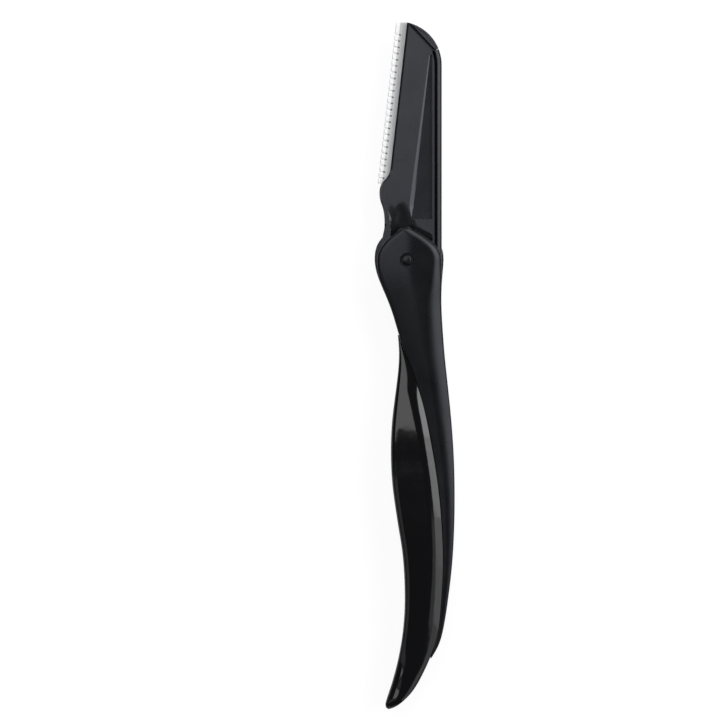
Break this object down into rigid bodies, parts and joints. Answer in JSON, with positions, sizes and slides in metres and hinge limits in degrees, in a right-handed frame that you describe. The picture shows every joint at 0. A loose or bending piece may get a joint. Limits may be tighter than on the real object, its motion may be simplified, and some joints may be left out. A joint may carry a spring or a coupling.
{
  "type": "folding eyebrow razor",
  "caption": "Slim folding eyebrow razor: a guarded straight blade on a pivoting head that folds into a curved two-tone handle.",
  "frame": {"origin": "on the pivot axis, at the flat back face that the handle rests on", "axes": "+X towards the spine of the open head, +Y towards the blade's tip, +Z out of the front face"},
  "size_m": [0.0176, 0.15, 0.0084],
  "materials": {
    "matt_black": "fine moulded satin",
    "gloss_black": "polished",
    "frame_black": "moulded",
    "pin_black": "satin dome",
    "washer_nylon": "natural nylon",
    "head_grey": "satin",
    "rail_black": "semi-gloss",
    "blade_steel": "ground",
    "guard_steel": "fine brushed"
  },
  "bodies": {
    "handle": {"front_shell": "matt_black", "back_shell": "matt_black", "front_leaf": "gloss_black", "back_leaf": "gloss_black", "inner_frame": "frame_black", "pivot_pin": "pin_black", "front_washer": "washer_nylon", "back_washer": "washer_nylon"},
    "head": {"blade_holder": "head_grey", "spine_rail": "rail_black", "blade": "blade_steel", "blade_guard": "guard_steel"}
  },
  "joints": [
    {"name": "head_fold", "type": "hinge", "parent": "handle", "child": "head", "pos_m": [0, 0, 0.0042], "axis": [0, 0, 1], "range_deg": [0, 180]}
  ]
}
